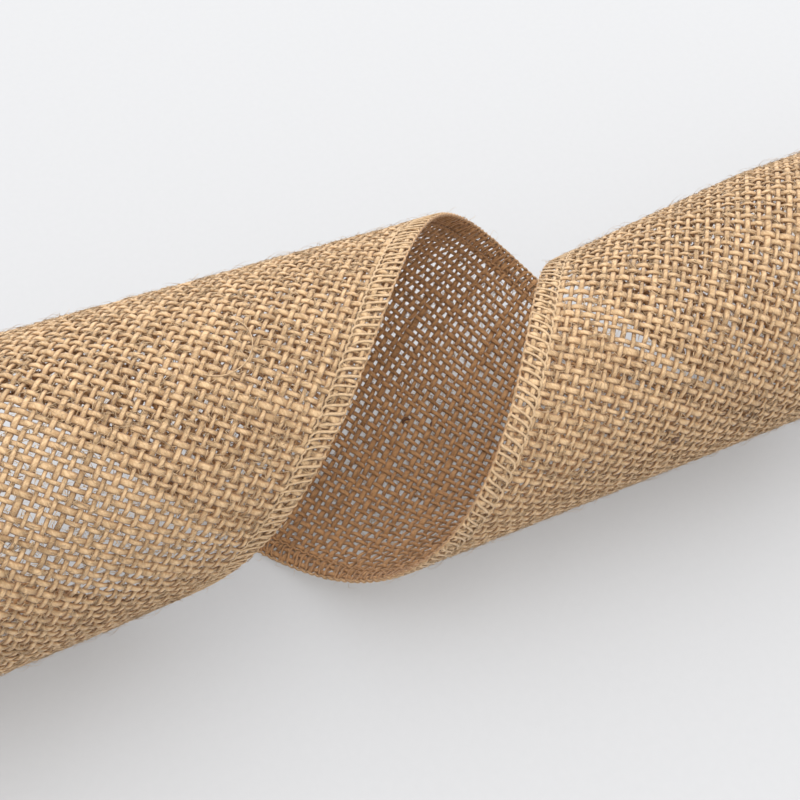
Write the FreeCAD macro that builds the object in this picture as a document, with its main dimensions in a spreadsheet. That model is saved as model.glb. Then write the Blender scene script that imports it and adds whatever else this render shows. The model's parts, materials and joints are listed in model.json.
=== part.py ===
import FreeCAD, Part
import math
import os
import Sketcher
from FreeCAD import Vector

# A hessian gift ribbon on a kraft board spool. The ribbon's free end lies flat on the table beside the
# spool and then curls into a loose left-handed tube. +X runs along the curled tube, +Z is up, z = 0 is
# the table, and the origin is the middle of the ribbon's flat stretch, on its underside.
# A place on the ribbon is (run, across): run is the length along it, zero at the back of the curl,
# and across is the distance from its centreline.

DIMENSIONS = {
    # ribbon
    "ribbon_width": 100.0,
    "edge_width": 5.0,          # overlocked band along each side
    "cloth_thick": 1.4,
    # curl: a cylinder that tightens turn by turn, lies on the table and drifts sideways
    "curl_radius": 33.1,        # at three quarters of a turn, the back of the tube
    "curl_shrink": 0.184,       # part of curl_radius lost in each turn
    "curl_drift": 20.7,         # towards -Y in each turn
    "lay_peak": 55.1,           # angle between the ribbon and the tube's axis, at its largest
    "lay_peak_run": 79.0,
    "near_bow": 2.35,           # degrees lost 100 mm before that place
    "far_bow": 4.2,             # degrees lost 100 mm after it, so that two turns' edges keep apart
    "near_steady_run": -150.0,  # before this the angle stays the same
    "far_steady_run": 250.0,    # and after this
    "near_taper": -0.152,       # part of curl_radius per 100 mm of tube, first turn
    "far_taper": 0.150,         # the same for the second turn
    "taper_low": -60.0,
    "taper_high": 110.0,
    "tail_end_run": 330.0,
    # way from the tube to the spool
    "flat_length": 24.0,
    "rise_length": 42.0,
    "lap_gap": 0.15,
    "lap_angle": 395.0,
    # spool
    "core_radius": 19.0,
    "core_wall": 2.0,
    "core_lip_radius": 21.0,
    "core_lip_thick": 1.4,
    "core_lip_round": 0.5,
    "flange_radius": 38.0,
    "flange_thick": 1.6,
    "flange_round": 0.5,
    "flange_gap": 103.0,        # between the two inner faces
    "wound_radius": 29.0,
    "turn_gap": 0.3,            # between the wound ribbon and the turn that the tail starts with
    "tape_thick": 0.2,
    "tape_width": 70.0,
    "tape_angle": 75.0,
}

document = FreeCAD.newDocument("RibbonSpool")
sheet = document.addObject("Spreadsheet::Sheet", "Dimensions")
for row, (alias, value) in enumerate(DIMENSIONS.items(), start=1):
    sheet.set("A%d" % row, alias)
    sheet.set("B%d" % row, str(value))
    sheet.setAlias("B%d" % row, alias)
document.recompute()
size_of = {alias: float(sheet.get(alias)) for alias in DIMENSIONS}


def bind(thing, **properties):
    for name, expression in properties.items():
        thing.setExpression(name, expression)


# ---------------------------------------------------------------- the ribbon's route

BACK = math.radians(270)        # turn angle where run is zero, counted from the table up the front
half_width = size_of["ribbon_width"] / 2
thick = size_of["cloth_thick"]
curl_radius = size_of["curl_radius"]
shrink = size_of["curl_shrink"] / (2 * math.pi)


def smooth(value, low, high):
    x = min(max((value - low) / (high - low), 0.0), 1.0)
    return x * x * (3 - 2 * x)


def lay(run):
    """Angle between the ribbon and the tube's axis."""
    away = min(max(run, size_of["near_steady_run"]), size_of["far_steady_run"]) - size_of["lay_peak_run"]
    bow = size_of["near_bow"] if away < 0 else size_of["far_bow"]
    return math.radians(size_of["lay_peak"] - bow * (away / 100) ** 2)


def centreline(run):
    """Along the tube and round it, for the middle of the ribbon at this run."""
    steps = max(1, round(abs(run)))
    step = run / steps
    along = sum(math.cos(lay((i + 0.5) * step)) for i in range(steps)) * step
    around = sum(math.sin(lay((i + 0.5) * step)) for i in range(steps)) * step
    return along, around


def turn_angle(around):
    """Angle round the tube, from the table, for a distance round it from the back."""
    return BACK + (1 - math.sqrt(1 - 2 * shrink * around / curl_radius)) / shrink


def around_at(angle):
    """The reverse of turn_angle."""
    away = angle - BACK
    return curl_radius * (away - shrink * away * away / 2)


def tube_radius(along, angle):
    taper = size_of["near_taper"]
    taper += (size_of["far_taper"] - taper) * smooth(angle, math.radians(160), math.radians(400))
    taper *= smooth(angle, 0.0, math.radians(50))
    reach = min(max(along, size_of["taper_low"]), size_of["taper_high"]) / 100
    return curl_radius * (1 + taper * reach - shrink * (angle - BACK))


def drift(angle):
    return -size_of["curl_drift"] * (angle - BACK) / (2 * math.pi)


around_table = around_at(0.0)
lay_flat = lay(size_of["near_steady_run"])


def run_where_around_is(target):
    low, high = -400.0, 0.0
    while high - low > 1e-6:
        middle = (low + high) / 2
        if centreline(middle)[1] < target:
            low = middle
        else:
            high = middle
    return low


# places along the ribbon, from the tube back to the spool
touch_run = run_where_around_is(around_table)
flat_end = touch_run - half_width / math.tan(lay_flat) - 1.0
flat_start = flat_end - size_of["flat_length"]
spool_run = flat_start - size_of["rise_length"]
origin_run = (flat_start + flat_end) / 2

origin_along, origin_around = centreline(origin_run)
origin_side = drift(0.0) + around_table - origin_around

towards_tube = Vector(math.cos(lay_flat), -math.sin(lay_flat), 0)
across_ribbon = Vector(math.sin(lay_flat), math.cos(lay_flat), 0)

inner_turn = size_of["wound_radius"] + size_of["turn_gap"] + thick / 2
outer_turn = inner_turn + thick + size_of["lap_gap"]
spool_height = size_of["flange_radius"]
spool_centre = towards_tube * (spool_run - origin_run) + Vector(0, 0, spool_height)
lap_run = spool_run - math.radians(size_of["lap_angle"]) * inner_turn


def on_tube(run, across):
    centre_along, centre_around = centreline(run)
    angle_here = lay(run)
    along = centre_along + across * math.sin(angle_here)
    around = centre_around - across * math.cos(angle_here)
    if around <= around_table:
        side = drift(0.0) + around_table - around
        height = thick / 2
    else:
        angle = turn_angle(around)
        radius = tube_radius(along, angle)
        side = drift(angle) - radius * math.sin(angle)
        height = thick / 2 + radius * (1 - math.cos(angle))
    return Vector(along - origin_along, side - origin_side, height)


def on_spool(run, across):
    """The turn round the wound ribbon. It laps over its own start just before it leaves."""
    if run > spool_run:
        low = spool_height - outer_turn
        height = low + (thick / 2 - low) * smooth(run, spool_run, flat_start - 1)
        reach = run - origin_run
    else:
        angle = (spool_run - run) / inner_turn
        radius = outer_turn + (inner_turn - outer_turn) * smooth(angle, math.radians(50), math.radians(90))
        height = spool_height - radius * math.cos(angle)
        reach = spool_run - origin_run - radius * math.sin(angle)
    return towards_tube * reach + across_ribbon * across + Vector(0, 0, height)


def outward(place, run, across):
    step = 0.05
    forward = place(run + step, across) - place(run - step, across)
    sideways = place(run, across + step) - place(run, across - step)
    return sideways.cross(forward).normalize()


# ---------------------------------------------------------------- solids along the ribbon

POLE_STEP = 3.0                 # along the ribbon
SMOOTH, STRAIGHT = 3, 1         # degrees of a surface in one direction
WEB_POLES, EDGE_POLES = 11, 4   # across the ribbon
SPOOL_STRETCHES, TUBE_STRETCHES = 4, 10     # of an overlocked edge
edge_start = half_width - size_of["edge_width"]


def clamped_knots(count, degree):
    inner = count - degree - 1
    return [i / (inner + 1) for i in range(inner + 2)], [degree + 1] + [1] * inner + [degree + 1]


def skin(poles, across_degree=SMOOTH):
    """A face from rows of poles: smooth from row to row, and within a row unless that is straight."""
    surface = Part.BSplineSurface()
    run_knots, run_mults = clamped_knots(len(poles), SMOOTH)
    across_knots, across_mults = clamped_knots(len(poles[0]), across_degree)
    surface.buildFromPolesMultsKnots(
        poles, run_mults, across_mults, run_knots, across_knots, False, False, SMOOTH, across_degree)
    return surface.toShape()


def pole_runs(start, end):
    count = max(SMOOTH + 2, round((end - start) / POLE_STEP) + 1)
    return [start + (end - start) * i / (count - 1) for i in range(count)]


def both_faces(place, run, across):
    """The places on the ribbon's outer and inner face."""
    middle = place(run, across)
    half_thick = outward(place, run, across) * (thick / 2)
    return [middle + half_thick, middle - half_thick]


def stretch_faces(place, runs, acrosses):
    """Outer and inner faces of one stretch, and its two side walls."""
    poles = [[both_faces(place, run, across) for across in acrosses] for run in runs]
    faces = [skin([[pair[layer] for pair in row] for row in poles]) for layer in (0, 1)]
    faces += [skin([row[side] for row in poles], STRAIGHT) for side in (0, -1)]
    return faces


def flat_faces(across_low, across_high):
    """The stretch that lies on the table, with plane faces."""
    corners = ((flat_start, across_low), (flat_end, across_low),
               (flat_end, across_high), (flat_start, across_high))
    low = [towards_tube * (run - origin_run) + across_ribbon * across for run, across in corners]
    high = [spot + Vector(0, 0, thick) for spot in low]
    loops = [low, high, [low[0], low[1], high[1], high[0]], [low[3], low[2], high[2], high[3]]]
    return [Part.Face(Part.makePolygon(loop + loop[:1])) for loop in loops]


def end_cap(place, run, acrosses):
    """The wall across the ribbon at one end."""
    return skin([both_faces(place, run, across) for across in acrosses], STRAIGHT)


def closed_solid(faces):
    shell = Part.makeShell(faces)
    shell.sewShape()
    solid = Part.makeSolid(shell)
    if solid.Volume < 0:
        solid.reverse()
    return solid


def spread(low, high, count):
    return [low + (high - low) * i / (count - 1) for i in range(count)]


def web_solid():
    """The woven middle of the free end, in one piece."""
    acrosses = spread(-edge_start, edge_start, WEB_POLES)
    tail_end_run = size_of["tail_end_run"]
    faces = stretch_faces(on_spool, pole_runs(lap_run, flat_start), acrosses)
    faces += flat_faces(-edge_start, edge_start)
    faces += stretch_faces(on_tube, pole_runs(flat_end, tail_end_run), acrosses)
    faces += [end_cap(on_spool, lap_run, acrosses), end_cap(on_tube, tail_end_run, acrosses)]
    return closed_solid(faces)


def edge_solids(side):
    """An overlocked edge, as short stretches that meet face to face, because it turns so tightly."""
    acrosses = sorted(spread(side * edge_start, side * half_width, EDGE_POLES))
    cuts = [(on_spool, run) for run in spread(lap_run, flat_start, SPOOL_STRETCHES + 1)]
    cuts += [(on_tube, run) for run in spread(flat_end, size_of["tail_end_run"], TUBE_STRETCHES + 1)]
    solids = []
    for (_, start), (place, end) in zip(cuts, cuts[1:]):
        faces = stretch_faces(place, pole_runs(start, end), acrosses)
        faces += [end_cap(place, start, acrosses), end_cap(place, end, acrosses)]
        solids.append(closed_solid(faces))
    return Part.makeCompound(solids)


def add_strip(label, shape):
    strip = document.addObject("Part::Feature", label)
    strip.Label = label
    strip.Shape = shape
    strip.Placement = FreeCAD.Placement()
    return strip


tail_nodes = [
    add_strip("tail_web", web_solid()),
    add_strip("tail_edge_inner", edge_solids(-1)),
    add_strip("tail_edge_outer", edge_solids(1)),
]

# ---------------------------------------------------------------- the spool
# Each piece is made about its own Z axis, which is then laid along the ribbon's width.

SPOOL_TURN = FreeCAD.Rotation(Vector(0, 0, 1), across_ribbon)


def on_axis(distance):
    return FreeCAD.Placement(spool_centre + across_ribbon * distance, SPOOL_TURN)


def add_body(label, distance):
    body = document.addObject("PartDesign::Body", label)
    body.Label = label
    body.Placement = on_axis(distance)
    return body


def add_sketch(body, plane_role):
    sketch = body.newObject("Sketcher::SketchObject", body.Label + "_sketch")
    planes = [plane for plane in body.Origin.OriginFeatures if plane.Role == plane_role]
    sketch.AttachmentSupport = [(planes[0], "")]
    sketch.MapMode = "FlatFace"
    return sketch


def add_core():
    """A board tube whose two ends are curled out over the flanges."""
    body = add_body("core_tube", 0.0)
    sketch = add_sketch(body, "XZ_Plane")
    bore = size_of["core_radius"] - size_of["core_wall"]
    shoulder = size_of["flange_gap"] / 2 + size_of["flange_thick"]
    tip = shoulder + size_of["core_lip_thick"]
    outline = [(bore, -tip), (size_of["core_lip_radius"], -tip), (size_of["core_lip_radius"], -shoulder),
               (size_of["core_radius"], -shoulder), (size_of["core_radius"], shoulder),
               (size_of["core_lip_radius"], shoulder), (size_of["core_lip_radius"], tip), (bore, tip)]
    for start, end in zip(outline, outline[1:] + outline[:1]):
        sketch.addGeometry(Part.LineSegment(Vector(*start, 0), Vector(*end, 0)), False)
    count = len(outline)
    for index in range(count):
        sketch.addConstraint(Sketcher.Constraint("Coincident", index, 2, (index + 1) % count, 1))
    for index in range(count):
        kind = "Horizontal" if index % 2 == 0 else "Vertical"
        sketch.addConstraint(Sketcher.Constraint(kind, index))
    widths = {
        "bore": (0, 1, "DistanceX", bore, "Dimensions.core_radius - Dimensions.core_wall"),
        "lip": (1, 1, "DistanceX", size_of["core_lip_radius"], "Dimensions.core_lip_radius"),
        "far_lip": (5, 2, "DistanceX", size_of["core_lip_radius"], "Dimensions.core_lip_radius"),
        "outside": (3, 2, "DistanceX", size_of["core_radius"], "Dimensions.core_radius"),
        "tip": (7, 1, "DistanceY", tip,
                "Dimensions.flange_gap / 2 + Dimensions.flange_thick + Dimensions.core_lip_thick"),
        "shoulder": (4, 1, "DistanceY", shoulder, "Dimensions.flange_gap / 2 + Dimensions.flange_thick"),
    }
    for name, (line, end, kind, value, expression) in widths.items():
        number = sketch.addConstraint(Sketcher.Constraint(kind, -1, 1, line, end, value))
        sketch.renameConstraint(number, name)
        sketch.setExpression("Constraints." + name, expression)
    lows = {
        "low_tip": (0, 1, "DistanceY", tip,
                    "Dimensions.flange_gap / 2 + Dimensions.flange_thick + Dimensions.core_lip_thick"),
        "low_shoulder": (3, 1, "DistanceY", shoulder,
                         "Dimensions.flange_gap / 2 + Dimensions.flange_thick"),
    }
    for name, (line, end, kind, value, expression) in lows.items():
        number = sketch.addConstraint(Sketcher.Constraint(kind, line, end, -1, 1, value))
        sketch.renameConstraint(number, name)
        sketch.setExpression("Constraints." + name, expression)
    turned = body.newObject("PartDesign::Revolution", "core_turned")
    turned.Profile = sketch
    turned.ReferenceAxis = (sketch, ["V_Axis"])
    turned.Angle = 360
    document.recompute()
    rounded = body.newObject("PartDesign::Fillet", "core_rounded")
    rims = []
    for index, edge in enumerate(turned.Shape.Edges, start=1):
        circle = edge.Curve
        if isinstance(circle, Part.Circle) and abs(circle.Radius - size_of["core_lip_radius"]) < 1e-6:
            rims.append("Edge%d" % index)
    rounded.Base = (turned, rims)
    bind(rounded, Radius="Dimensions.core_lip_round")
    return body


def add_flange(label, side):
    """A board disc, pushed on to the core up to its lip."""
    inner_face = size_of["flange_gap"] / 2
    outside = inner_face if side > 0 else -inner_face - size_of["flange_thick"]
    body = add_body(label, outside)
    sketch = add_sketch(body, "XY_Plane")
    circles = {"rim": "Dimensions.flange_radius", "hole": "Dimensions.core_radius"}
    for index, (name, expression) in enumerate(circles.items()):
        radius = size_of[expression.split(".")[1]]
        sketch.addGeometry(Part.Circle(Vector(0, 0, 0), Vector(0, 0, 1), radius), False)
        sketch.addConstraint(Sketcher.Constraint("Coincident", index, 3, -1, 1))
        number = sketch.addConstraint(Sketcher.Constraint("Radius", index, radius))
        sketch.renameConstraint(number, name)
        sketch.setExpression("Constraints." + name, expression)
    disc = body.newObject("PartDesign::Pad", label + "_disc")
    disc.Profile = sketch
    bind(disc, Length="Dimensions.flange_thick")
    document.recompute()
    rounded = body.newObject("PartDesign::Fillet", label + "_rounded")
    rims = []
    for index, edge in enumerate(disc.Shape.Edges, start=1):
        circle = edge.Curve
        if isinstance(circle, Part.Circle) and abs(circle.Radius - size_of["flange_radius"]) < 1e-6:
            rims.append("Edge%d" % index)
    rounded.Base = (disc, rims)
    bind(rounded, Radius="Dimensions.flange_round")
    return body


def add_ring(label, start, inner, outer, length, angle=None):
    """A ring about the spool's axis, or part of one, starting at a distance along it."""
    cylinders = []
    for name, radius in (("outside", outer), ("inside", inner)):
        cylinder = document.addObject("Part::Cylinder", label + "_" + name)
        bind(cylinder, Radius=radius, Height=length)
        if angle:
            bind(cylinder, Angle=angle)
        cylinders.append(cylinder)
    ring = document.addObject("Part::Cut", label)
    ring.Label = label
    ring.Base, ring.Tool = cylinders
    ring.Placement = on_axis(start)
    return ring


wound_inner = "Dimensions.core_radius + Dimensions.tape_thick"
wound_outer = "Dimensions.wound_radius"
spool_nodes = [
    add_core(),
    add_flange("flange_inner", -1),
    add_flange("flange_outer", 1),
    add_ring("start_tape", -size_of["tape_width"] / 2, "Dimensions.core_radius", wound_inner,
             "Dimensions.tape_width", "Dimensions.tape_angle"),
    add_ring("wound_web", -edge_start, wound_inner, wound_outer,
             "Dimensions.ribbon_width - 2 * Dimensions.edge_width"),
    add_ring("wound_edge_inner", -half_width, wound_inner, wound_outer, "Dimensions.edge_width"),
    add_ring("wound_edge_outer", edge_start, wound_inner, wound_outer, "Dimensions.edge_width"),
]

# ---------------------------------------------------------------- checks and files

document.recompute()
for item in document.Objects:
    if {"Invalid", "Error"} & set(item.State):
        raise RuntimeError("%s is %s" % (item.Label, item.State))

os.makedirs("parts", exist_ok=True)
for node in tail_nodes + spool_nodes:
    shape = node.Shape
    if shape.isNull() or not shape.isValid() or not shape.Solids:
        raise RuntimeError("%s has no sound solid" % node.Label)
    box = shape.BoundBox
    print("%-18s %9.1f mm3  x %7.1f %7.1f  y %7.1f %7.1f  z %6.2f %6.2f" % (
        node.Label, shape.Volume, box.XMin, box.XMax, box.YMin, box.YMax, box.ZMin, box.ZMax))
    shape.exportStep("parts/%s.step" % node.Label)
print("spool centre", spool_centre, "axis", across_ribbon, "runs", touch_run, flat_end, spool_run, lap_run)
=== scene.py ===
import json
import math

import bpy
import numpy as np
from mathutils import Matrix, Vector


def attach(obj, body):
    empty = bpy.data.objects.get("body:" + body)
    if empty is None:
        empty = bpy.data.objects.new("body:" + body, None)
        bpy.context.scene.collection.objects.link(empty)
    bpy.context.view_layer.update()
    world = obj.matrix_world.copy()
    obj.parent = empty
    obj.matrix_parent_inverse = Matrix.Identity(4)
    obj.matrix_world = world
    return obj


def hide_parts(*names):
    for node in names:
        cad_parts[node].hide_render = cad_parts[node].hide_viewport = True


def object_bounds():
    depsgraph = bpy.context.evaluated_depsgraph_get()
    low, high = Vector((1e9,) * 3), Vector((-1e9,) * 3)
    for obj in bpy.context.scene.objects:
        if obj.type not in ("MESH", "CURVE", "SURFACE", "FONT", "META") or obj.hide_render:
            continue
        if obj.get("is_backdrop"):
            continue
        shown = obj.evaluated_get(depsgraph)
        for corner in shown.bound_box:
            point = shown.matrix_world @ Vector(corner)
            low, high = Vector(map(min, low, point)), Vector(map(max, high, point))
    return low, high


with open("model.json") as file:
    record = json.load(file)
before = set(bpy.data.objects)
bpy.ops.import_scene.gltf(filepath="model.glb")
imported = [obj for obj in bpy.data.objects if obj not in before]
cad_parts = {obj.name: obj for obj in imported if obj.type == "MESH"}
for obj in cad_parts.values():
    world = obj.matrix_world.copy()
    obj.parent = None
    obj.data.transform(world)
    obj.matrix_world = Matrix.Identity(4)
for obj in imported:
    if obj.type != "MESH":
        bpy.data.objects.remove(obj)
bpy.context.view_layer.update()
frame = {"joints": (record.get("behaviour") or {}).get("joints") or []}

# Lengths are in millimetres until a mesh is made, and metres from there on.
MM = 0.001
RANDOM = np.random.default_rng(41)

# ---------------------------------------------------------------- driving dimensions, as in the CAD model

WIDTH = 100.0
EDGE_WIDTH = 5.0
THICK = 1.4
CURL_RADIUS = 33.1
CURL_SHRINK = 0.184 / (2 * math.pi)
CURL_DRIFT = 20.7
LAY_PEAK, LAY_PEAK_RUN = 55.1, 79.0
NEAR_BOW, FAR_BOW = 2.35, 4.2
NEAR_STEADY_RUN, FAR_STEADY_RUN = -150.0, 250.0
NEAR_TAPER, FAR_TAPER, TAPER_LOW, TAPER_HIGH = -0.152, 0.150, -60.0, 110.0
TAIL_END_RUN = 330.0
FLAT_LENGTH, RISE_LENGTH = 24.0, 42.0
LAP_GAP, LAP_ANGLE = 0.15, 395.0
CORE_RADIUS, WOUND_RADIUS, TURN_GAP = 19.0, 29.0, 0.3
FLANGE_RADIUS = 38.0
HALF = WIDTH / 2
BACK = math.radians(270)        # turn angle where run is zero, counted from the table up the front

# ---------------------------------------------------------------- the ribbon's route


def smooth(value, low, high):
    """From 0 at low to 1 at high, level at both ends."""
    x = np.clip((value - low) / (high - low), 0.0, 1.0)
    return x * x * (3 - 2 * x)


def lay(run):
    """Angle between the ribbon and the tube's axis."""
    away = np.clip(run, NEAR_STEADY_RUN, FAR_STEADY_RUN) - LAY_PEAK_RUN
    return np.radians(LAY_PEAK - np.where(away < 0, NEAR_BOW, FAR_BOW) * (away / 100) ** 2)


RUN_STEP, RUN_REACH = 0.5, 420.0
RUN_TABLE = np.arange(-RUN_REACH, RUN_REACH + 0.01, RUN_STEP)


def running_sum(values):
    """The integral of values over the run, zero at run zero."""
    total = np.concatenate([[0.0], np.cumsum((values[1:] + values[:-1]) / 2 * RUN_STEP)])
    return total - np.interp(0.0, RUN_TABLE, total)


ALONG_TABLE = running_sum(np.cos(lay(RUN_TABLE)))
AROUND_TABLE = running_sum(np.sin(lay(RUN_TABLE)))


def turn_angle(around):
    """The curl's turn angle for a distance round it, on a spiral that tightens evenly."""
    return BACK + (1 - np.sqrt(1 - 2 * CURL_SHRINK * around / CURL_RADIUS)) / CURL_SHRINK


def around_at(angle):
    """The distance round the curl for a turn angle: what turn_angle undoes."""
    away = angle - BACK
    return CURL_RADIUS * (away - CURL_SHRINK * away * away / 2)


def tube_radius(along, angle):
    """The curl's radius: it tapers one way near the spool and the other way far from it."""
    taper = NEAR_TAPER + (FAR_TAPER - NEAR_TAPER) * smooth(angle, math.radians(160), math.radians(400))
    taper = taper * smooth(angle, 0.0, math.radians(50))
    reach = np.clip(along, TAPER_LOW, TAPER_HIGH) / 100
    return CURL_RADIUS * (1 + taper * reach - CURL_SHRINK * (angle - BACK))


def drift(angle):
    """How far the curl has rolled sideways over the table at a turn angle."""
    return -CURL_DRIFT * (angle - BACK) / (2 * math.pi)


AROUND_FLOOR = around_at(0.0)
LAY_FLAT = float(lay(NEAR_STEADY_RUN))
TOUCH_RUN = float(np.interp(AROUND_FLOOR, AROUND_TABLE, RUN_TABLE))
FLAT_END = TOUCH_RUN - HALF / math.tan(LAY_FLAT) - 1.0
FLAT_START = FLAT_END - FLAT_LENGTH
SPOOL_RUN = FLAT_START - RISE_LENGTH
ORIGIN_RUN = (FLAT_START + FLAT_END) / 2
ORIGIN_ALONG = float(np.interp(ORIGIN_RUN, RUN_TABLE, ALONG_TABLE))
ORIGIN_SIDE = float(drift(0.0) + AROUND_FLOOR - np.interp(ORIGIN_RUN, RUN_TABLE, AROUND_TABLE))
TOWARDS_TUBE = np.array([math.cos(LAY_FLAT), -math.sin(LAY_FLAT), 0.0])
ACROSS_RIBBON = np.array([math.sin(LAY_FLAT), math.cos(LAY_FLAT), 0.0])
INNER_TURN = WOUND_RADIUS + TURN_GAP + THICK / 2
OUTER_TURN = INNER_TURN + THICK + LAP_GAP
LAP_RUN = SPOOL_RUN - math.radians(LAP_ANGLE) * INNER_TURN
SPOOL_JOINT = next(joint for joint in frame["joints"] if joint["name"] == "spool_spin")
SPOOL_CENTRE = np.array(SPOOL_JOINT["pos_m"]) / MM


def on_tube(run, across):
    """A place on the middle of the cloth, in the curl or on the flat stretch before it."""
    angle_here = lay(run)
    along = np.interp(run, RUN_TABLE, ALONG_TABLE) + across * np.sin(angle_here)
    around = np.interp(run, RUN_TABLE, AROUND_TABLE) - across * np.cos(angle_here)
    angle = turn_angle(np.maximum(around, AROUND_FLOOR))
    radius = tube_radius(along, angle)
    curled = around > AROUND_FLOOR
    side = np.where(curled, drift(angle) - radius * np.sin(angle), drift(0.0) + AROUND_FLOOR - around)
    height = THICK / 2 + np.where(curled, radius * (1 - np.cos(angle)), 0.0)
    return np.stack([along - ORIGIN_ALONG, side - ORIGIN_SIDE, height], -1)


def on_spool(run, across):
    """A place on the middle of the cloth, on the rise to the spool or on the last turn round it."""
    low = FLANGE_RADIUS - OUTER_TURN
    rising = low + (THICK / 2 - low) * smooth(run, SPOOL_RUN, FLAT_START - 1)
    angle = np.maximum(SPOOL_RUN - run, 0.0) / INNER_TURN
    radius = OUTER_TURN + (INNER_TURN - OUTER_TURN) * smooth(angle, math.radians(50), math.radians(90))
    wound = run < SPOOL_RUN
    height = np.where(wound, FLANGE_RADIUS - radius * np.cos(angle), rising)
    reach = np.where(wound, SPOOL_RUN - ORIGIN_RUN - radius * np.sin(angle), run - ORIGIN_RUN)
    place = reach[..., None] * TOWARDS_TUBE + across[..., None] * ACROSS_RIBBON
    place[..., 2] = height
    return place


def middle(run, across):
    """A place on the middle of the cloth anywhere on the free end."""
    near_spool = (run < ORIGIN_RUN)[..., None]
    return np.where(near_spool, on_spool(run, across), on_tube(run, across))


SLOPE_STEP = 0.05               # either side of a place, for the cloth's slope there


def unit(vectors):
    return vectors / np.maximum(np.linalg.norm(vectors, axis=-1, keepdims=True), 1e-12)


def ribbon(run, across, lift=0.0):
    """A place on the free end, lifted off the cloth's middle towards its outer face."""
    run, across = np.broadcast_arrays(np.asarray(run, float), np.asarray(across, float))
    forward = middle(run + SLOPE_STEP, across) - middle(run - SLOPE_STEP, across)
    sideways = middle(run, across + SLOPE_STEP) - middle(run, across - SLOPE_STEP)
    outward = unit(np.cross(sideways, forward))
    return middle(run, across) + outward * np.asarray(lift)[..., None], outward


# ---------------------------------------------------------------- smooth random lines


def wander(count, length, spacing):
    """One smooth random line for each of count yarns, with a new value at every spacing."""
    knots = max(4, int(length / spacing) + 4)
    values = RANDOM.normal(size=(count, knots))

    def read(rows, position):
        x = np.clip(position / spacing + 1, 1, knots - 3)
        cell = x.astype(int)
        part = x - cell
        a, b, c, d = (values[rows, cell + shift] for shift in (-1, 0, 1, 2))
        return b + 0.5 * part * (c - a + part * (2 * a - 5 * b + 4 * c - d + part * (3 * (b - c) + d - a)))

    return read


# ---------------------------------------------------------------- meshes and tubes


def add_mesh(name, points, quads, attributes, caps=()):
    """A mesh object from arrays, in millimetres. caps are loops of point numbers that close tubes."""
    mesh = bpy.data.meshes.new(name)
    caps = [np.asarray(cap) for cap in caps if len(cap)]
    loops = [quads.ravel()] + [cap.ravel() for cap in caps]
    sizes = [np.full(len(quads), 4)] + [np.full(len(cap), cap.shape[1]) for cap in caps]
    sizes = np.concatenate(sizes)
    starts = np.concatenate([[0], np.cumsum(sizes)[:-1]])
    mesh.vertices.add(len(points))
    mesh.vertices.foreach_set("co", (points * MM).astype(np.float32).ravel())
    mesh.loops.add(int(sizes.sum()))
    mesh.loops.foreach_set("vertex_index", np.concatenate(loops).astype(np.int32))
    mesh.polygons.add(len(sizes))
    mesh.polygons.foreach_set("loop_start", starts.astype(np.int32))
    mesh.polygons.foreach_set("use_smooth", np.ones(len(sizes), bool))
    for key, values in attributes.items():
        kind = "FLOAT_VECTOR" if values.ndim == 2 else "FLOAT"
        field = "vector" if values.ndim == 2 else "value"
        attribute = mesh.attributes.new(key, kind, "POINT")
        attribute.data.foreach_set(field, values.astype(np.float32).ravel())
    mesh.update(calc_edges=True)
    mesh.validate()
    thing = bpy.data.objects.new(name, mesh)
    bpy.context.scene.collection.objects.link(thing)
    return thing


def tubes(lines, outward, wide, deep, sides, twist=0.0, offset=0.0):
    """Oval tubes round many lines at once.

    lines and outward are (yarns, points, 3). wide and deep are half sizes across the cloth and through it.
    Returns points, quads, caps, each point's place in the fibre pattern, and how far it faces outward.
    The pattern's place is the length along the yarn and the twisted angle round it, as a cosine and a sine
    so that it has no seam."""
    yarns, count = lines.shape[:2]
    along = unit(np.gradient(lines, axis=1))
    beside = unit(np.cross(along, outward))
    above = np.cross(beside, along)
    turn = np.arange(sides) / sides * 2 * math.pi
    wide = np.broadcast_to(wide, (yarns, count))[..., None, None]
    deep = np.broadcast_to(deep, (yarns, count))[..., None, None]
    ring = (beside[:, :, None] * np.cos(turn)[:, None] * wide
            + above[:, :, None] * np.sin(turn)[:, None] * deep)
    points = (lines[:, :, None] + ring).reshape(-1, 3)
    index = np.arange(yarns * count * sides).reshape(yarns, count, sides)
    here, there = index[:, :-1], index[:, 1:]
    quads = np.stack([here, np.roll(here, -1, 2), np.roll(there, -1, 2), there], -1).reshape(-1, 4)
    caps = [index[:, 0, ::-1], index[:, -1]]
    steps = np.linalg.norm(np.diff(lines, axis=1), axis=-1)
    length = np.concatenate([np.zeros((yarns, 1)), np.cumsum(steps, 1)], 1)
    phase = turn + (length * twist)[..., None]
    pattern = np.stack([np.broadcast_to((length + offset)[..., None], phase.shape),
                        np.cos(phase), np.sin(phase)], -1).reshape(-1, 3)
    facing = np.broadcast_to(np.sin(turn), phase.shape).ravel()
    return points, quads, caps, pattern, facing


def join_tubes(parts):
    """One set of arrays from several results of tubes(), with the attributes that the jute material reads."""
    points, quads, patterns, facings, caps = [], [], [], [], []
    start = 0
    for part_points, part_quads, part_caps, part_pattern, part_facing in parts:
        points.append(part_points)
        quads.append(part_quads + start)
        caps.extend(cap + start for cap in part_caps)
        patterns.append(part_pattern)
        facings.append(part_facing)
        start += len(part_points)
    facing = np.concatenate(facings)
    # how far a point faces out of the cloth paints light on a yarn's crests and shade down its flanks; inward
    # marks the inner face, which the material darkens with painted shade
    attributes = {"fibre": np.concatenate(patterns), "crest_shading": np.abs(facing), "inward": 0.5 - 0.5 * facing}
    return np.concatenate(points), np.concatenate(quads), caps, attributes


# ---------------------------------------------------------------- woven cloth

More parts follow.
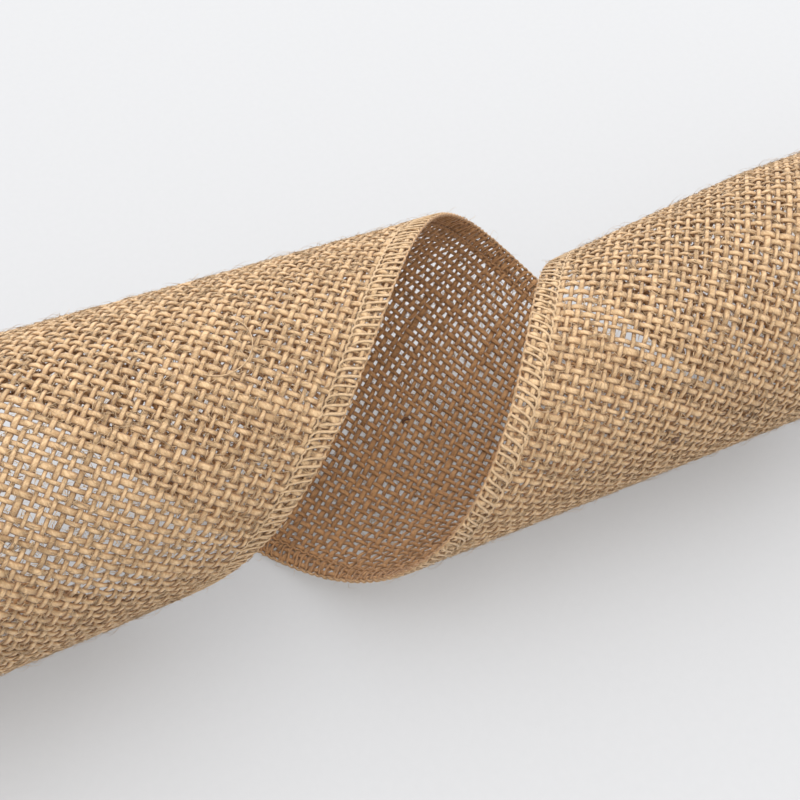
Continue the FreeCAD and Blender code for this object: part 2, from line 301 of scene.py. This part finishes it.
PITCH = 2.07                    # between yarns, both ways
WARP_WIDE, WEFT_WIDE, YARN_DEEP = 0.56, 0.66, 0.30
CRIMP = 0.29
SEGMENTS = 3                    # of a yarn between two crossings
SIDES = 6
TWIST = 1.5                     # radians a millimetre
PATTERN_REACH = 400             # each yarn starts somewhere in this length of the fibre pattern
WARP_JITTER, WEFT_JITTER = 0.10, 0.14           # of a yarn's place
WARP_SWAY, WEFT_SWAY = 0.12, 0.15               # to either side, along a yarn
WARP_SWAY_SPACING, WEFT_SWAY_SPACING = 17.0, 11.0               # in crossings
WARP_UNEVEN, WEFT_UNEVEN = 0.16, 0.19           # share of a yarn's width
WARP_UNEVEN_SPACING, WEFT_UNEVEN_SPACING = 9.0, 8.0
DEPTH_STEADY, DEPTH_UNEVEN = 0.6, 0.4           # a yarn's depth varies less than its width
END_MARGIN = 0.3                # of the last weft from the cloth's cut ends
# painted shade: how much a yarn's crest light drops where it dips under the others
DIP_SHADE_MIDDLE, DIP_SHADE_SHARE = 0.62, 0.38


def weave(place, run_start, run_end, half_width):
    """Warp and weft yarns, over and under each other, on any surface given by place(run, across, lift).

    Returns the tubes, each point's tone (one value a yarn) and its wave: 1 where the yarn passes over."""
    warps = int(round(2 * half_width / PITCH))
    wefts = int(round((run_end - run_start) / PITCH))
    warp_at = (np.arange(warps) - (warps - 1) / 2) * (2 * half_width - PITCH) / (warps - 1)
    weft_at = run_start + (np.arange(wefts) + 0.5) * (run_end - run_start) / wefts
    warp_at = warp_at + RANDOM.normal(size=warps) * WARP_JITTER
    weft_at = weft_at + RANDOM.normal(size=wefts) * WEFT_JITTER
    sway_run = wander(warps, wefts, WARP_SWAY_SPACING)
    sway_across = wander(wefts, warps, WEFT_SWAY_SPACING)
    warp_size = wander(warps, wefts, WARP_UNEVEN_SPACING)
    weft_size = wander(wefts, warps, WEFT_UNEVEN_SPACING)
    warp_rows, weft_rows = np.arange(warps)[:, None], np.arange(wefts)[:, None]

    # warp: each follows one column and goes over and under every weft
    steps = np.linspace(-0.45, wefts - 0.55, wefts * SEGMENTS + 1)[None]
    run = np.interp(steps, np.arange(wefts), weft_at) + (steps < 0) * steps * PITCH
    run = run + np.clip(steps - (wefts - 1), 0, 1) * PITCH
    across = warp_at[:, None] + sway_run(warp_rows, steps) * WARP_SWAY
    wave = np.cos(math.pi * (steps + warp_rows))
    lines, outward = place(np.broadcast_to(run, across.shape), across, wave * CRIMP)
    size = 1 + WARP_UNEVEN * warp_size(warp_rows, steps)
    depth = YARN_DEEP * (DEPTH_STEADY + DEPTH_UNEVEN * size)
    warp = tubes(lines, outward, WARP_WIDE * size, depth, SIDES, TWIST,
                 RANDOM.uniform(0, PATTERN_REACH, size=(warps, 1)))
    warp_tone = np.repeat(RANDOM.normal(size=warps)[:, None] + 0.0 * steps, SIDES)
    warp_wave = np.repeat(wave, SIDES)

    # weft: each runs from side to side
    steps = np.linspace(-0.5, warps - 0.5, warps * SEGMENTS + 1)[None]
    across = np.interp(steps, np.arange(warps), warp_at)
    across = across + np.where(steps < 0, steps, 0) * PITCH + np.clip(steps - (warps - 1), 0, 1) * PITCH
    run = weft_at[:, None] + sway_across(weft_rows, steps) * WEFT_SWAY
    run = np.clip(run, run_start + END_MARGIN, run_end - END_MARGIN)
    wave = -np.cos(math.pi * (steps + weft_rows))
    lines, outward = place(run, np.broadcast_to(across, run.shape), wave * CRIMP)
    size = 1 + WEFT_UNEVEN * weft_size(weft_rows, steps)
    depth = YARN_DEEP * (DEPTH_STEADY + DEPTH_UNEVEN * size)
    weft = tubes(lines, outward, WEFT_WIDE * size, depth, SIDES, TWIST,
                 RANDOM.uniform(0, PATTERN_REACH, size=(wefts, 1)))
    weft_tone = np.repeat(RANDOM.normal(size=wefts)[:, None] + 0.0 * steps, SIDES)
    weft_wave = np.repeat(wave, SIDES)
    return [warp, weft], np.concatenate([warp_tone, weft_tone]), np.concatenate([warp_wave, weft_wave])


def add_cloth(name, place, run_start, run_end, half_width):
    """A woven piece as one mesh."""
    parts, tone, wave = weave(place, run_start, run_end, half_width)
    points, quads, caps, attributes = join_tubes(parts)
    # painted light and shade: a yarn is drawn paler where it comes to the surface and darker where it dips
    # under the others, in the shade between the yarns
    surfaced = (1 - 2 * attributes["inward"]) * wave
    attributes["crest_shading"] = attributes["crest_shading"] * (DIP_SHADE_MIDDLE + DIP_SHADE_SHARE * surfaced)
    return add_mesh(name, points, quads, {**attributes, "tone": tone}, caps)


# ---------------------------------------------------------------- overlocked edges

RIB_PITCH = 1.95
RIB_POINTS = 16
RIB_SLANT = 1.5                 # how far a looper thread's outer end leads its inner one
NEEDLE_POINTS = 6               # of the needle and edge threads, a rib
BAND_MARGIN = 0.35              # from the edge thread to the ribbon's edge
THREAD_SIDES, THREAD_TWIST = 6, 2.2
LOOPER_WIDE, LOOPER_DEEP, LOOPER_LIFT = 0.33, 0.23, 0.50
LOOPER_UNEVEN, LOOPER_SLACK, LOOPER_STRAY = 0.20, 0.30, 0.25
LOOPER_SPREAD = 0.75            # how far a rib's two legs lean apart
NEEDLE_WIDE, NEEDLE_DEEP, NEEDLE_LIFT, NEEDLE_DIP = 0.27, 0.17, 0.42, 0.16
CHAIN_WIDE, CHAIN_DEEP, CHAIN_LIFT = 0.32, 0.34, 0.18
THREAD_TONE, THREAD_TONE_SPREAD = 0.6, 0.3
THREAD_PATTERN_REACH = 900
FACE_LIFT = 0.3                 # a thread this far from the cloth's middle is fully on one face


def overlock(place, run_start, run_end, side, press=1.0):
    """Looper thread wound over the cloth's edge, the needle thread's stitches, and the edge's own chain.

    press is less than one where turns of the ribbon lie tight on each other. Returns the tubes, each
    point's tone, and how much it belongs to the cloth's inner face."""
    ribs = int((run_end - run_start) / RIB_PITCH)
    inner, outer = HALF - EDGE_WIDTH, HALF - BAND_MARGIN
    parts, tones, inward = [], [], []

    def thread(run, across, lift, wide, deep):
        lines, outward = place(run, side * across, lift * press)
        start = RANDOM.uniform(0, THREAD_PATTERN_REACH)
        part = tubes(lines[None], outward[None], wide, deep * press, THREAD_SIDES, THREAD_TWIST, start)
        parts.append(part)
        tones.append(np.full(len(part[0]), THREAD_TONE + RANDOM.normal() * THREAD_TONE_SPREAD))
        inward.append(np.repeat(0.5 - 0.5 * np.clip(lift / FACE_LIFT, -1, 1), THREAD_SIDES))

    # the looper goes from the needle line over the face to the edge, round it and back on the other face
    turn = np.linspace(0, ribs, ribs * RIB_POINTS + 1)
    phase = 2 * math.pi * (turn % 1)
    over = np.sin(phase)
    reach = 0.5 - 0.5 * np.cos(phase)
    number = np.floor(turn).astype(int)
    uneven = RANDOM.normal(size=ribs + 2) * LOOPER_UNEVEN
    slack = RANDOM.normal(size=ribs + 2) * LOOPER_SLACK
    stray = RANDOM.normal(size=ribs + 2) * LOOPER_STRAY
    face = np.sign(over) * np.abs(over) ** 0.3
    run = run_start + turn * RIB_PITCH + RIB_SLANT * reach + LOOPER_SPREAD * over * (1 - reach)
    run = run + uneven[number] * reach + stray[number] * np.abs(over)
    across = inner + slack[number] * (1 - reach) + (outer - inner) * reach ** 0.8
    tight = 1 + 0.22 * np.cos(7.3 * turn) * np.cos(2.1 * turn)
    thread(run, across, LOOPER_LIFT * face, LOOPER_WIDE * tight, LOOPER_DEEP)
    # needle thread: short stitches in line on both faces
    turn = np.linspace(0, ribs, ribs * NEEDLE_POINTS + 1)
    run = run_start + turn * RIB_PITCH
    wave_across, wave_up = np.sin(2 * math.pi * turn), np.cos(2 * math.pi * turn)
    for face in (1, -1):
        lift = face * (NEEDLE_LIFT + NEEDLE_DIP * wave_up)
        thread(run, inner + NEEDLE_DIP * wave_across, lift, NEEDLE_WIDE, NEEDLE_DEEP)
    # chain on the edge
    thread(run, outer + 0.05 + 0.10 * wave_up, CHAIN_LIFT * wave_across, CHAIN_WIDE, CHAIN_DEEP)
    return parts, np.concatenate(tones), np.concatenate(inward)


def add_overlock(name, place, run_start, run_end, side, press=1.0):
    """One overlocked edge as one mesh."""
    parts, tone, inward = overlock(place, run_start, run_end, side, press)
    points, quads, caps, attributes = join_tubes(parts)
    return add_mesh(name, points, quads, {**attributes, "tone": tone, "inward": inward}, caps)


# ---------------------------------------------------------------- the ribbon wound on the core

ROLL_INNER, ROLL_OUTER = CORE_RADIUS + 1.0, WOUND_RADIUS - 0.95
ROLL_PRESS = 0.8                # how flat the overlocked edges are pressed in the roll
ROLL_PITCH = THICK * 0.97       # from one turn to the next
ROLL_TURNS = (ROLL_OUTER - ROLL_INNER) / ROLL_PITCH
ROLL_LENGTH = math.pi * ROLL_TURNS * (ROLL_INNER + ROLL_OUTER)
ROLL_GROWTH = (ROLL_OUTER - ROLL_INNER) / (2 * math.pi * ROLL_TURNS)
ROLL_STEP, ROLL_COLUMNS = 1.0, 96
ROLL_HALF_THICK, ROLL_RELIEF = 0.48, 0.10
ROLL_SIDE_MARGIN = 4            # the cloth ends this far inside the ribbon's edges, under the overlock


def roll(run, across, lift=0.0):
    """A place on the wound ribbon: a spiral about the spool's axis, its turns a little out of line."""
    run, across = np.broadcast_arrays(np.asarray(run, float), np.asarray(across, float))
    angle = (np.sqrt(ROLL_INNER ** 2 + 2 * ROLL_GROWTH * run) - ROLL_INNER) / ROLL_GROWTH
    radius = ROLL_INNER + ROLL_GROWTH * angle
    outward = np.cos(angle)[..., None] * np.array([0.0, 0.0, 1.0]) + np.sin(angle)[..., None] * TOWARDS_TUBE
    stagger = 0.35 * np.sin(angle * 0.61) + 0.2 * np.sin(angle * 1.37 + 1.0)
    place = SPOOL_CENTRE + ACROSS_RIBBON * (across + stagger)[..., None]
    return place + outward * (radius + lift)[..., None], outward


def add_roll():
    """The wound cloth as one closed spiral strip with yarn-sized relief."""
    rows, columns = int(ROLL_LENGTH / ROLL_STEP), ROLL_COLUMNS
    half = HALF - ROLL_SIDE_MARGIN
    run, across = np.meshgrid(np.linspace(0, ROLL_LENGTH, rows), np.linspace(-half, half, columns),
                              indexing="ij")
    relief = np.cos(math.pi * run / PITCH) * np.cos(math.pi * across / PITCH) * ROLL_RELIEF
    faces = [roll(run, across, face * ROLL_HALF_THICK + relief)[0] for face in (1, -1)]
    points = np.concatenate([face.reshape(-1, 3) for face in faces])
    top = np.arange(rows * columns).reshape(rows, columns)
    low = top + rows * columns
    quads = [np.stack([top[:-1, :-1], top[:-1, 1:], top[1:, 1:], top[1:, :-1]], -1).reshape(-1, 4),
             np.stack([low[:-1, :-1], low[1:, :-1], low[1:, 1:], low[:-1, 1:]], -1).reshape(-1, 4)]
    rim = np.concatenate([np.arange(columns), np.arange(1, rows) * columns + columns - 1,
                          (rows - 1) * columns + np.arange(columns - 2, -1, -1),
                          np.arange(rows - 2, 0, -1) * columns])
    shift = rows * columns
    quads.append(np.stack([rim, rim + shift, np.roll(rim, -1) + shift, np.roll(rim, -1)], -1))
    pattern = np.stack([run, across, 0 * run], -1).reshape(-1, 3)
    pattern = np.concatenate([pattern, pattern])
    return add_mesh("wound_cloth", points, np.concatenate(quads),
                    {"fibre": pattern, "tone": np.zeros(2 * shift), "crest_shading": np.full(2 * shift, 0.6),
                     "inward": np.zeros(2 * shift)})


# ---------------------------------------------------------------- loose fibres, a loose strand and bark

FIBRE_SIDES = 3
OUTER_SHARE = 0.8               # of the fibres, on the ribbon's outer face
FIBRE_BEND, FIBRE_TONE, FIBRE_TONE_SPREAD = 1.3, 1.0, 2.5
LOWEST = 0.1                    # of a fibre over the table


def add_fuzz(name, place, run_start, run_end, count, length_range, thickness, depth, rise, knots, past_edge):
    """Thin loose fibres that start in the cloth and lie in it or rise from it.

    thickness is a fibre's half width, depth the range of its start's height over the cloth's middle, rise
    the range of how steeply it climbs, and past_edge how far it may reach past the ribbon's edges."""
    run = RANDOM.uniform(run_start + 1, run_end - 1, count)
    across = RANDOM.uniform(-HALF + 0.5, HALF - 0.5, count)
    face = RANDOM.choice([-1.0, 1.0], count, p=(1 - OUTER_SHARE, OUTER_SHARE))
    heading = RANDOM.uniform(0, 2 * math.pi, count)
    bend = RANDOM.normal(size=count) * FIBRE_BEND
    length = np.exp(RANDOM.uniform(*np.log(length_range), count))
    start = RANDOM.uniform(*depth, count)
    climb = RANDOM.uniform(*rise, count) * length
    t = np.linspace(0, 1, knots)[None]
    direction = heading[:, None] + bend[:, None] * t
    step = length[:, None] / (knots - 1)
    run_line = run[:, None] + np.cumsum(np.cos(direction) * step, 1)
    across_line = across[:, None] + np.cumsum(np.sin(direction) * step, 1)
    run_line = np.clip(run_line, run_start + 0.2, run_end + 2.0)
    arch = np.sin(t * RANDOM.uniform(1.2, 2.9, (count, 1)))
    lift = face[:, None] * (start[:, None] + climb[:, None] * arch)
    lines, outward = place(run_line, np.clip(across_line, -HALF - past_edge, HALF + past_edge), lift)
    lines[..., 2] = np.maximum(lines[..., 2], LOWEST)
    thin = thickness * (1.15 - t) + 0.0 * lift
    points, quads, caps, pattern, _ = tubes(lines, outward, thin, thin, FIBRE_SIDES, 0.0,
                                            RANDOM.uniform(0, PATTERN_REACH, size=(count, 1)))
    tone = np.repeat(RANDOM.normal(size=count) * FIBRE_TONE_SPREAD + FIBRE_TONE, knots * FIBRE_SIDES)
    attributes = {"fibre": pattern, "tone": tone, "crest_shading": np.full(len(tone), 0.75),
                  "inward": np.repeat(0.5 - 0.5 * face, knots * FIBRE_SIDES)}
    return add_mesh(name, points, quads, attributes, caps)


STRAND_RUN, STRAND_ACROSS, STRAND_RADIUS = -60.0, 20.5, 7.0     # a half circle on the cloth
STRAND_WIDE, STRAND_DEEP, STRAND_TONE = 0.14, 0.12, 3.0
STRAND_LIFT, STRAND_ARCH = 0.62, 0.30
STRAND_POINTS = 56
BARK_INSIDE, BARK_OUTSIDE = (45.0, -1.0), (124.0, -8.5)         # run and across of the two large flecks
BARK_POINTS = 5
BARK_LENGTH, BARK_HALF_WIDTH, BARK_BEND, BARK_LIFT, BARK_DEPTH = 2.8, 0.55, 1.2, 0.52, 0.6
SMALL_LENGTHS, SMALL_HALF_WIDTHS = (0.8, 2.4), (0.10, 0.24)


def add_loose_yarn(name, place):
    """A strand that has worked loose from the cloth's outside and lies on it in a loop."""
    turn = np.linspace(0, math.pi, STRAND_POINTS)
    run = STRAND_RUN - STRAND_RADIUS * np.cos(turn)
    across = STRAND_ACROSS + STRAND_RADIUS * np.sin(turn)
    lines, outward = place(run, across, STRAND_LIFT + STRAND_ARCH * np.sin(turn))
    part = tubes(lines[None], outward[None], STRAND_WIDE, STRAND_DEEP, SIDES, TWIST)
    points, quads, caps, attributes = join_tubes([part])
    return add_mesh(name, points, quads, {**attributes, "tone": np.full(len(points), STRAND_TONE)}, caps)


def add_bark(name, place, run_start, run_end, count):
    """Dark flecks of bark caught in the yarn: the two large ones and many small ones."""
    placed = np.array([BARK_INSIDE, BARK_OUTSIDE])
    run = np.concatenate([placed[:, 0], RANDOM.uniform(run_start + 3, run_end - 3, count)])
    across = np.concatenate([placed[:, 1], RANDOM.uniform(-HALF + 6, HALF - 6, count)])
    face = np.concatenate([[-1.0, 1.0], RANDOM.choice([-1.0, 1.0], count)])
    length = np.concatenate([np.full(len(placed), BARK_LENGTH), RANDOM.uniform(*SMALL_LENGTHS, count)])
    half = np.concatenate([np.full(len(placed), BARK_HALF_WIDTH), RANDOM.uniform(*SMALL_HALF_WIDTHS, count)])
    heading = RANDOM.uniform(0, 2 * math.pi, len(run))
    t = np.linspace(-0.5, 0.5, BARK_POINTS)[None]
    bend = RANDOM.normal(size=(len(run), 1)) * BARK_BEND
    run_line = run[:, None] + np.cos(heading[:, None] + bend * t) * length[:, None] * t
    across_line = across[:, None] + np.sin(heading[:, None] + bend * t) * length[:, None] * t
    lift = face[:, None] * (BARK_LIFT + 0.0 * t)
    lines, outward = place(run_line, across_line, lift)
    girth = half[:, None] * np.sqrt(1.05 - (2 * t) ** 2)
    part = tubes(lines, outward, girth, BARK_DEPTH * girth, SIDES)
    points, quads, caps, attributes = join_tubes([part])
    return add_mesh(name, points, quads, {**attributes, "tone": np.zeros(len(points))}, caps)


# ---------------------------------------------------------------- materials


class Nodes:
    """A material's node tree, with short calls to build it."""

    def __init__(self, name):
        self.material = bpy.data.materials.new(name)
        self.material.use_nodes = True
        self.tree = self.material.node_tree
        self.shader = self.tree.nodes["Principled BSDF"]

    def add(self, kind, **settings):
        node = self.tree.nodes.new(kind)
        for key, value in settings.items():
            if key in node.inputs:
                node.inputs[key].default_value = value
            else:
                setattr(node, key, value)
        return node

    def link(self, source, target):
        self.tree.links.new(source, target)

    def mix(self, factor, first, second, blend="MIX"):
        node = self.add("ShaderNodeMix", data_type="RGBA", blend_type=blend)
        for socket, value in ((node.inputs[0], factor), (node.inputs[6], first), (node.inputs[7], second)):
            if isinstance(value, bpy.types.NodeSocket):
                self.link(value, socket)
            else:
                socket.default_value = value
        return node.outputs[2]

    def math(self, operation, first, second):
        node = self.add("ShaderNodeMath", operation=operation)
        for socket, value in zip(node.inputs, (first, second)):
            if isinstance(value, bpy.types.NodeSocket):
                self.link(value, socket)
            else:
                socket.default_value = value
        return node.outputs[0]

    def noise(self, vector, scale, detail, rough):
        node = self.add("ShaderNodeTexNoise", Scale=scale, Detail=detail, Roughness=rough)
        self.link(vector, node.inputs["Vector"])
        return node.outputs["Fac"]

    def ramp(self, factor, *stops):
        node = self.add("ShaderNodeValToRGB")
        elements = node.color_ramp.elements
        while len(elements) < len(stops):
            elements.new(0.5)
        for element, (position, colour) in zip(elements, stops):
            element.position = position
            element.color = colour
        self.link(factor, node.inputs[0])
        return node.outputs["Color"]

    def bump(self, height, strength, distance):
        node = self.add("ShaderNodeBump", Strength=strength, Distance=distance)
        self.link(height, node.inputs["Height"])
        self.link(node.outputs["Normal"], self.shader.inputs["Normal"])

    def stretched(self, vector, scale):
        node = self.add("ShaderNodeMapping", Scale=scale)
        self.link(vector, node.inputs["Vector"])
        return node.outputs["Vector"]


def rgb(red, green, blue):
    return (red, green, blue, 1.0)


INNER_FACE_SHADE = rgb(0.74, 0.565, 0.42)            # painted shade on the ribbon's inner face, which lies in shade inside the curl


def jute(name, dark, pale):
    """Jute yarn, from the meshes' attributes.

    fibre makes strands that run with the twist, tone makes whole yarns paler or darker, how far a point faces
    out of the cloth paints light on a yarn's crests and shade down its flanks, and inward darkens the inner
    face with painted shade, as that face lies in shade inside the curl."""
    nodes = Nodes(name)
    fibre = nodes.add("ShaderNodeAttribute", attribute_name="fibre").outputs["Vector"]
    tone = nodes.add("ShaderNodeAttribute", attribute_name="tone").outputs["Fac"]
    strands = nodes.noise(nodes.stretched(fibre, (0.45, 1.3, 1.3)), 1.0, 5.0, 0.7)
    patches = nodes.noise(nodes.stretched(fibre, (0.12, 0.5, 0.5)), 1.0, 2.0, 0.5)
    crest_shading = nodes.add("ShaderNodeAttribute", attribute_name="crest_shading").outputs["Fac"]
    # the colour follows the strands, plus painted light on each yarn's crest and painted shade down its
    # flanks
    height = nodes.math("ADD", strands, nodes.math("MULTIPLY", nodes.math("SUBTRACT", crest_shading, 0.55), 0.44))
    middle = rgb(*[(a + b) / 2 for a, b in zip(dark[:3], pale[:3])])
    colour = nodes.ramp(height, (0.22, dark), (0.50, middle), (0.66, pale))
    level = nodes.math("ADD", nodes.math("MULTIPLY", tone, 0.10), nodes.math("ADD", patches, 0.5))
    shade = nodes.ramp(level, (0.70, rgb(0.66, 0.63, 0.59)), (1.0, rgb(1.0, 1.0, 1.0)))
    colour = nodes.mix(1.0, colour, shade, "MULTIPLY")
    # painted shade: the inner face is drawn darker, as it lies in shade inside the curl
    inward = nodes.add("ShaderNodeAttribute", attribute_name="inward").outputs["Fac"]
    colour = nodes.mix(inward, colour, nodes.mix(1.0, colour, INNER_FACE_SHADE, "MULTIPLY"))
    nodes.link(colour, nodes.shader.inputs["Base Color"])
    nodes.shader.inputs["Roughness"].default_value = 0.85
    nodes.shader.inputs["Specular IOR Level"].default_value = 0.25
    nodes.shader.inputs["Sheen Weight"].default_value = 0.25
    nodes.shader.inputs["Sheen Roughness"].default_value = 0.5
    nodes.bump(strands, 0.9, 0.00025)
    return nodes.material


def board(name, dark, pale):
    """Uncoated kraft board: mottled fibres, a fine tooth and a few dark specks."""
    nodes = Nodes(name)
    place = nodes.add("ShaderNodeTexCoord").outputs["Object"]
    cloud = nodes.noise(place, 180.0, 5.0, 0.6)
    fibres = nodes.noise(nodes.stretched(place, (900.0, 2600.0, 1700.0)), 1.0, 4.0, 0.6)
    specks = nodes.noise(place, 1900.0, 2.0, 0.5)
    colour = nodes.ramp(cloud, (0.35, dark), (0.68, pale))
    colour = nodes.mix(0.5, colour, nodes.ramp(fibres, (0.32, rgb(0.62, 0.60, 0.56)), (0.6, rgb(1, 1, 1))),
                       "MULTIPLY")
    colour = nodes.mix(nodes.ramp(specks, (0.70, rgb(0, 0, 0)), (0.78, rgb(0.5, 0.5, 0.5))), colour,
                       rgb(0.16, 0.09, 0.045))
    nodes.link(colour, nodes.shader.inputs["Base Color"])
    nodes.link(nodes.ramp(fibres, (0.3, rgb(0.78, 0.78, 0.78)), (0.7, rgb(0.95, 0.95, 0.95))),
               nodes.shader.inputs["Roughness"])
    nodes.bump(fibres, 0.35, 0.0003)
    return nodes.material


def floor_paper():
    """Plain pale paper that gives off a little light, so the floor stays even."""
    nodes = Nodes("floor")
    place = nodes.add("ShaderNodeTexCoord").outputs["Object"]
    grain = nodes.noise(place, 500.0, 3.0, 0.6)
    nodes.link(nodes.ramp(grain, (0.3, rgb(0.316, 0.322, 0.334)), (0.7, rgb(0.324, 0.330, 0.342))),
               nodes.shader.inputs["Base Color"])
    nodes.shader.inputs["Roughness"].default_value = 0.9
    nodes.shader.inputs["Specular IOR Level"].default_value = 0.2
    nodes.shader.inputs["Emission Color"].default_value = rgb(0.995, 0.995, 1.0)
    nodes.shader.inputs["Emission Strength"].default_value = 0.25
    return nodes.material


# ---------------------------------------------------------------- camera, floor and light

VIEW_TURN = math.radians(25.5)      # the tube's axis against the picture's width
VIEW_DOWN = math.radians(53.9)
VIEW_DISTANCE = 259.0
VIEW_TARGET = (19.25, -0.42, 28.7)  # along and beside the tube from the curl's zero, and up
FOCAL_LENGTH, SENSOR_WIDTH, CLIP_START = 49.5, 36.0, 0.01
FLOOR_REACH = 30.0                  # metres, so that the floor fills every view
SOFTBOX_AWAY, SOFTBOX_ASIDE, SOFTBOX_UP = 0.45, 0.1, 1.3        # metres from the target
SOFTBOX_POWER, SOFTBOX_SIZE, SOFTBOX_COLOUR = 27.0, 2.2, (0.96, 0.98, 1.0)
WORLD_COLOUR, WORLD_STRENGTH = (1.0, 0.975, 0.945, 1.0), 1.22


def make_camera():
    """The camera at its place. Returns the way it looks and what it looks at."""
    forward = Vector((math.sin(VIEW_TURN) * math.cos(VIEW_DOWN), math.cos(VIEW_TURN) * math.cos(VIEW_DOWN),
                      -math.sin(VIEW_DOWN)))
    target = Vector((VIEW_TARGET[0] - ORIGIN_ALONG, VIEW_TARGET[1] - ORIGIN_SIDE, VIEW_TARGET[2]))
    data = bpy.data.cameras.new("camera")
    data.lens = FOCAL_LENGTH
    data.sensor_width = SENSOR_WIDTH
    data.clip_start = CLIP_START
    camera = bpy.data.objects.new("camera", data)
    camera.location = (target - forward * VIEW_DISTANCE) * MM
    camera.rotation_euler = forward.to_track_quat("-Z", "Y").to_euler()
    bpy.context.scene.collection.objects.link(camera)
    bpy.context.scene.camera = camera
    return forward, target * MM


def make_light(name, place, target, power, size, colour):
    data = bpy.data.lights.new(name, "AREA")
    data.energy = power
    data.size = size
    data.color = colour
    light = bpy.data.objects.new(name, data)
    light.location = place
    light.rotation_euler = (target - Vector(place)).to_track_quat("-Z", "Y").to_euler()
    bpy.context.scene.collection.objects.link(light)


def make_stage(forward, target):
    """The floor, one softbox beyond the object, and an even pale sky."""
    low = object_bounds()[0][2]
    mesh = bpy.data.meshes.new("floor")
    corners = [(x * FLOOR_REACH, y * FLOOR_REACH, low) for x, y in ((-1, -1), (1, -1), (1, 1), (-1, 1))]
    mesh.from_pydata(corners, [], [(0, 1, 2, 3)])
    floor = bpy.data.objects.new("floor", mesh)
    floor.data.materials.append(floor_paper())
    bpy.context.scene.collection.objects.link(floor)
    floor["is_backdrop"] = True
    away = Vector((forward.x, forward.y, 0)).normalized()
    aside = Vector((away.y, -away.x, 0))
    place = target + away * SOFTBOX_AWAY + aside * SOFTBOX_ASIDE + Vector((0, 0, SOFTBOX_UP))
    make_light("softbox", place, target, SOFTBOX_POWER, SOFTBOX_SIZE, SOFTBOX_COLOUR)
    world = bpy.data.worlds.new("world")
    world.use_nodes = True
    background = world.node_tree.nodes["Background"]
    background.inputs["Color"].default_value = WORLD_COLOUR
    background.inputs["Strength"].default_value = WORLD_STRENGTH
    bpy.context.scene.world = world
    bpy.context.scene.view_settings.view_transform = "Standard"


# ---------------------------------------------------------------- build

forward, target = make_camera()
make_stage(forward, target)

hessian = jute("hessian", rgb(0.36, 0.205, 0.092), rgb(0.66, 0.47, 0.275))
stitching = jute("stitching", rgb(0.35, 0.21, 0.102), rgb(0.61, 0.435, 0.26))
bark = jute("bark", rgb(0.060, 0.030, 0.016), rgb(0.17, 0.092, 0.048))
kraft_flange = board("kraft_flange", rgb(0.27, 0.175, 0.095), rgb(0.38, 0.255, 0.145))
gummed_paper = board("gummed_paper", rgb(0.33, 0.22, 0.12), rgb(0.45, 0.32, 0.19))
woven = jute("woven", rgb(0.22, 0.125, 0.06), rgb(0.50, 0.355, 0.205))
kraft_core = board("kraft_core", rgb(0.23, 0.145, 0.078), rgb(0.34, 0.225, 0.13))


def finish_piece(piece, material, body, slot_name, *nodes):
    """Give a new piece its material and body, and hide the CAD nodes that it stands for. slot_name is not
    used.
    """
    piece.data.materials.clear()
    piece.data.materials.append(material)
    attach(piece, body)
    if nodes:
        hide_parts(*nodes)
    return piece


WEB_HALF = HALF - 0.6               # the yarns end inside the overlocked edges

web = add_cloth("hessian_web", ribbon, LAP_RUN, TAIL_END_RUN, WEB_HALF)
finish_piece(web, hessian, "ribbon_tail", "hessian", "tail_web")
for side, label in ((-1, "inner"), (1, "outer")):
    edge = add_overlock("overlock_" + label, ribbon, LAP_RUN, TAIL_END_RUN, side)
    finish_piece(edge, stitching, "ribbon_tail", "overlock", "tail_edge_" + label)
nap = add_fuzz("nap", ribbon, LAP_RUN, TAIL_END_RUN, count=95000, length_range=(1.0, 2.6), thickness=0.105,
               depth=(0.05, 0.62), rise=(-0.05, 0.05), knots=2, past_edge=0.0)
finish_piece(nap, hessian, "ribbon_tail", "hessian")
fuzz = add_fuzz("loose_fibres", ribbon, LAP_RUN, TAIL_END_RUN, count=30000, length_range=(1.6, 5.0),
                thickness=0.038, depth=(0.35, 0.60), rise=(0.0, 0.30), knots=4, past_edge=1.5)
finish_piece(fuzz, hessian, "ribbon_tail", "hessian")
flecks = add_bark("bark_flecks", ribbon, LAP_RUN, TAIL_END_RUN, count=90)
finish_piece(flecks, bark, "ribbon_tail", "hessian")
strand = add_loose_yarn("loose_yarn", ribbon)
finish_piece(strand, stitching, "ribbon_tail", "overlock")

wound = finish_piece(add_roll(), woven, "spool", "hessian", "wound_web")
for side, label in ((-1, "inner"), (1, "outer")):
    edge = add_overlock("wound_overlock_" + label, roll, 0.0, ROLL_LENGTH, side, ROLL_PRESS)
    finish_piece(edge, stitching, "spool", "overlock", "wound_edge_" + label)

for node, material in (("core_tube", kraft_core), ("flange_inner", kraft_flange),
                       ("flange_outer", kraft_flange), ("start_tape", gummed_paper)):
    item = bpy.data.objects[node]
    item.data.materials.clear()
    item.data.materials.append(material)
